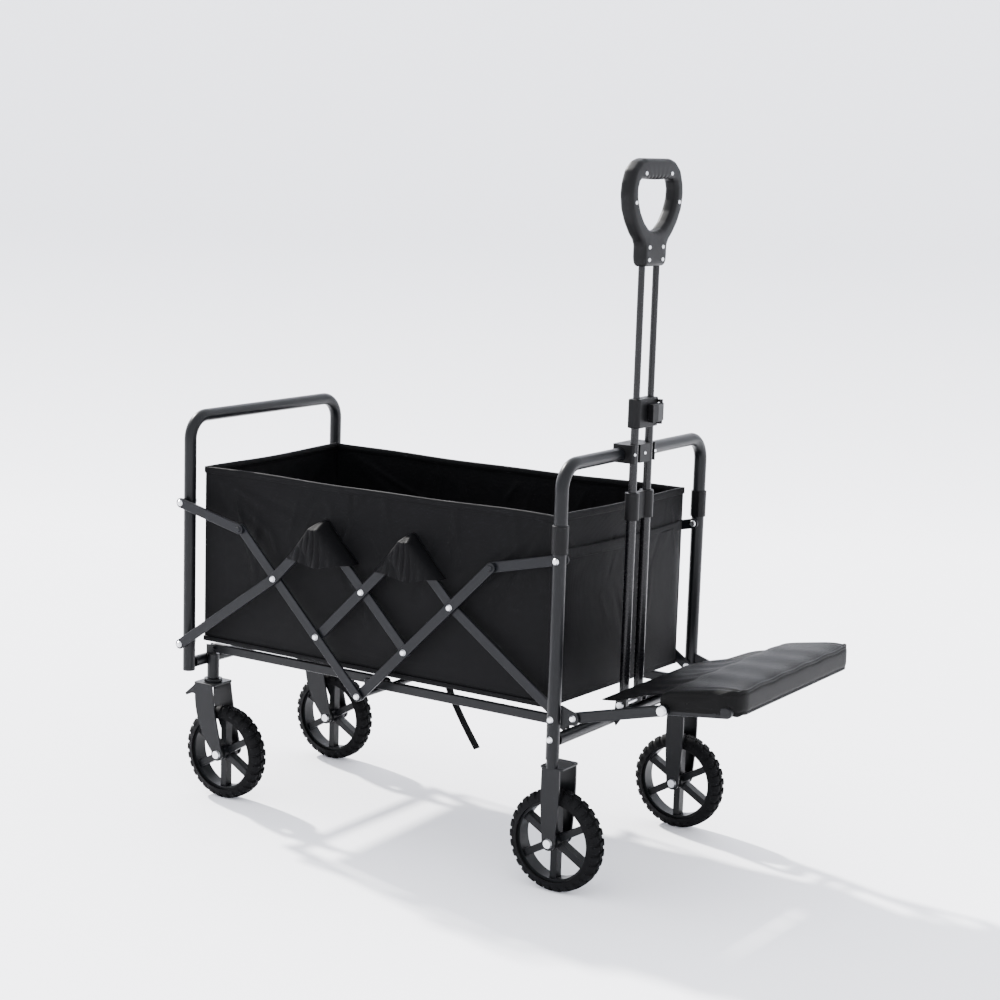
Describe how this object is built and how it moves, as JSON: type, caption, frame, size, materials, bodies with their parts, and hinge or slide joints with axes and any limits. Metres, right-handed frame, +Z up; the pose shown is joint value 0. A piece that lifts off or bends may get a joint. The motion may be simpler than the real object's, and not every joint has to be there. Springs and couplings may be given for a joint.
{
  "type": "folding camp wagon",
  "caption": "Folding pull wagon with two inverted-U tube hoops, a scissor lattice on each side, a black fabric basket, four treaded wheels, a telescopic pull handle and a padded fold-out platform.",
  "frame": {"origin": "centre of the floor area under the open wagon, on the floor", "axes": "+X towards the pull handle and the padded platform, +Y across to the far side, +Z up"},
  "size_m": [1.243, 0.5372, 1.286],
  "materials": {
    "frame_paint": "satin",
    "bar_paint": "satin",
    "bright_steel": "satin",
    "handle_paint": "satin",
    "moulded_plastic": "matte",
    "wheel_plastic": "satin",
    "tyre_rubber": "matte",
    "basket_fabric": "matte",
    "pad_cover": "matte",
    "webbing": "matte"
  },
  "bodies": {
    "front_frame": {"front_hoop": "frame_paint", "leg_sleeves": "moulded_plastic", "front_cross_tube": "frame_paint", "frame_bolts": "bright_steel", "front_forks": "frame_paint", "hoop_clip": "moulded_plastic", "platform_brackets": "frame_paint", "basket_floor": "basket_fabric", "basket_front_wall": "basket_fabric", "basket_near_wall": "basket_fabric", "basket_far_wall": "basket_fabric", "hanging_strap": "webbing"},
    "rear_frame": {"rear_hoop": "frame_paint", "rear_cross_tube": "frame_paint", "rivets_rear_leg": "bright_steel", "basket_rear_wall": "basket_fabric"},
    "bar_front_end": {"bar_front_end": "bar_paint"},
    "bar_front_long": {"bar_front_long": "bar_paint", "rivets_front_long": "bright_steel"},
    "bar_middle_rising": {"bar_middle_rising": "bar_paint", "rivets_middle": "bright_steel"},
    "bar_middle_falling": {"bar_middle_falling": "bar_paint"},
    "bar_rear_long": {"bar_rear_long": "bar_paint", "rivets_rear_long": "bright_steel", "knee_tube": "frame_paint"},
    "bar_rear_end": {"bar_rear_end": "bar_paint", "rivets_rear_end": "bright_steel"},
    "link_front": {"link_front": "bar_paint"},
    "link_rear": {"link_rear": "bar_paint"},
    "front_floor_bars": {"front_floor_bars": "frame_paint"},
    "rear_floor_bars": {"rear_floor_bars": "frame_paint"},
    "handle_outer": {"handle_outer_tubes": "handle_paint", "handle_collar": "moulded_plastic"},
    "handle_middle": {"handle_middle_tubes": "handle_paint", "handle_clamp": "moulded_plastic"},
    "clamp_lever": {"clamp_lever": "moulded_plastic"},
    "handle_inner": {"handle_inner_tubes": "handle_paint", "handle_grip": "moulded_plastic", "grip_screws": "bright_steel"},
    "platform_arms": {"platform_arms": "frame_paint", "pad_bolts": "bright_steel", "platform_sheet": "basket_fabric"},
    "platform_pad": {"pad_frame": "frame_paint", "platform_pad": "pad_cover"},
    "caster_near": {"caster_fork_near": "frame_paint", "caster_axle_near": "bright_steel"},
    "brake_near": {"brake_pedal_near": "frame_paint"},
    "rear_wheel_near": {"tyre_rear_near": "tyre_rubber", "hub_rear_near": "wheel_plastic"},
    "front_wheel_near": {"tyre_front_near": "tyre_rubber", "hub_front_near": "wheel_plastic"},
    "caster_far": {"caster_fork_far": "frame_paint", "caster_axle_far": "bright_steel"},
    "brake_far": {"brake_pedal_far": "frame_paint"},
    "rear_wheel_far": {"tyre_rear_far": "tyre_rubber", "hub_rear_far": "wheel_plastic"},
    "front_wheel_far": {"tyre_front_far": "tyre_rubber", "hub_front_far": "wheel_plastic"}
  },
  "joints": [
    {"name": "fold", "type": "hinge", "parent": "front_frame", "child": "bar_front_end", "pos_m": [0.2765, 0, 0.319], "axis": [0, 1, 0], "range_deg": [0, 37], "deforming": ["basket_floor", "basket_front_wall", "basket_near_wall", "basket_far_wall", "basket_rear_wall", "hanging_strap"]},
    {"name": "mid_front_pivot", "type": "hinge", "parent": "bar_front_end", "child": "bar_front_long", "pos_m": [0.0455, 0, 0.481], "axis": [0, 1, 0], "range_deg": [-74.01, 0]},
    {"name": "apex_front_pivot", "type": "hinge", "parent": "bar_front_end", "child": "bar_middle_rising", "pos_m": [-0.053, 0, 0.579], "axis": [0, 1, 0], "range_deg": [-74.01, 0]},
    {"name": "bottom_pivot", "type": "hinge", "parent": "bar_front_long", "child": "bar_rear_long", "pos_m": [-0.1515, 0, 0.285], "axis": [0, 1, 0], "range_deg": [0, 74.01]},
    {"name": "low_front_pivot", "type": "hinge", "parent": "bar_front_long", "child": "bar_middle_falling", "pos_m": [-0.053, 0, 0.383], "axis": [0, 1, 0], "range_deg": [0, 74.01]},
    {"name": "mid_rear_pivot", "type": "hinge", "parent": "bar_rear_long", "child": "bar_rear_end", "pos_m": [-0.3485, 0, 0.481], "axis": [0, 1, 0], "range_deg": [-74.01, 0]},
    {"name": "end_rear_pivot", "type": "hinge", "parent": "bar_rear_end", "child": "rear_frame", "pos_m": [-0.5795, 0, 0.319], "axis": [0, 1, 0], "range_deg": [0, 37.01]},
    {"name": "link_front_pivot", "type": "hinge", "parent": "front_frame", "child": "link_front", "pos_m": [0.2765, 0, 0.599], "axis": [0, 1, 0], "range_deg": [0, 69.94]},
    {"name": "link_rear_pivot", "type": "hinge", "parent": "rear_frame", "child": "link_rear", "pos_m": [-0.5795, 0, 0.599], "axis": [0, 1, 0], "range_deg": [-69.94, 0]},
    {"name": "front_floor_pivot", "type": "hinge", "parent": "front_frame", "child": "front_floor_bars", "pos_m": [0.2545, 0, 0.3004], "axis": [0, 1, 0], "range_deg": [0, 74.75]},
    {"name": "rear_floor_pivot", "type": "hinge", "parent": "rear_frame", "child": "rear_floor_bars", "pos_m": [-0.5575, 0, 0.3004], "axis": [0, 1, 0], "range_deg": [-74.75, 0]},
    {"name": "handle_lean", "type": "hinge", "parent": "front_frame", "child": "handle_outer", "pos_m": [0.2985, -0.02, 0.306], "axis": [0, -1, 0], "range_deg": [-25, 0]},
    {"name": "handle_middle_slide", "type": "slide", "parent": "handle_outer", "child": "handle_middle", "axis": [0, 0, 1], "range_m": [-0.026, 0.13]},
    {"name": "handle_inner_slide", "type": "slide", "parent": "handle_middle", "child": "handle_inner", "axis": [0, 0, 1], "range_m": [-0.23, 0]},
    {"name": "clamp_lever_turn", "type": "hinge", "parent": "handle_middle", "child": "clamp_lever", "pos_m": [0.317, 0.014, 0.838], "axis": [0, 0, 1], "range_deg": [0, 100]},
    {"name": "platform_fold", "type": "hinge", "parent": "front_frame", "child": "platform_arms", "pos_m": [0.3125, 0, 0.324], "axis": [0, -1, 0], "range_deg": [0, 45]},
    {"name": "pad_fold", "type": "hinge", "parent": "platform_arms", "child": "platform_pad", "pos_m": [0.4835, 0, 0.367], "axis": [0, -1, 0], "range_deg": [-150, 0]},
    {"name": "caster_near_swivel", "type": "hinge", "parent": "rear_frame", "child": "caster_near", "pos_m": [-0.5635, -0.176, 0.26], "axis": [0, 0, 1], "continuous": true},
    {"name": "rear_wheel_near_spin", "type": "hinge", "parent": "caster_near", "child": "rear_wheel_near", "pos_m": [-0.5275, -0.176, 0.093], "axis": [0, 1, 0], "continuous": true},
    {"name": "brake_near_press", "type": "hinge", "parent": "caster_near", "child": "brake_near", "pos_m": [-0.5985, -0.176, 0.21], "axis": [0, -1, 0], "range_deg": [0, 15]},
    {"name": "caster_far_swivel", "type": "hinge", "parent": "rear_frame", "child": "caster_far", "pos_m": [-0.5635, 0.176, 0.26], "axis": [0, 0, 1], "continuous": true},
    {"name": "rear_wheel_far_spin", "type": "hinge", "parent": "caster_far", "child": "rear_wheel_far", "pos_m": [-0.5275, 0.176, 0.093], "axis": [0, 1, 0], "continuous": true},
    {"name": "brake_far_press", "type": "hinge", "parent": "caster_far", "child": "brake_far", "pos_m": [-0.5985, 0.176, 0.21], "axis": [0, -1, 0], "range_deg": [0, 15]},
    {"name": "front_wheel_near_spin", "type": "hinge", "parent": "front_frame", "child": "front_wheel_near", "pos_m": [0.2765, -0.228, 0.093], "axis": [0, 1, 0], "continuous": true},
    {"name": "front_wheel_far_spin", "type": "hinge", "parent": "front_frame", "child": "front_wheel_far", "pos_m": [0.2765, 0.228, 0.093], "axis": [0, 1, 0], "continuous": true}
  ],
  "couplings": [
    {"joint": "mid_front_pivot", "follows": "fold", "ratio": -2},
    {"joint": "apex_front_pivot", "follows": "fold", "ratio": -2},
    {"joint": "bottom_pivot", "follows": "fold", "ratio": 2},
    {"joint": "low_front_pivot", "follows": "fold", "ratio": 2},
    {"joint": "mid_rear_pivot", "follows": "fold", "ratio": -2},
    {"joint": "end_rear_pivot", "follows": "fold", "ratio": 1},
    {"joint": "link_front_pivot", "follows": "fold", "ratio": 1.89},
    {"joint": "link_rear_pivot", "follows": "fold", "ratio": -1.89},
    {"joint": "front_floor_pivot", "follows": "fold", "ratio": 2.02},
    {"joint": "rear_floor_pivot", "follows": "fold", "ratio": -2.02}
  ]
}
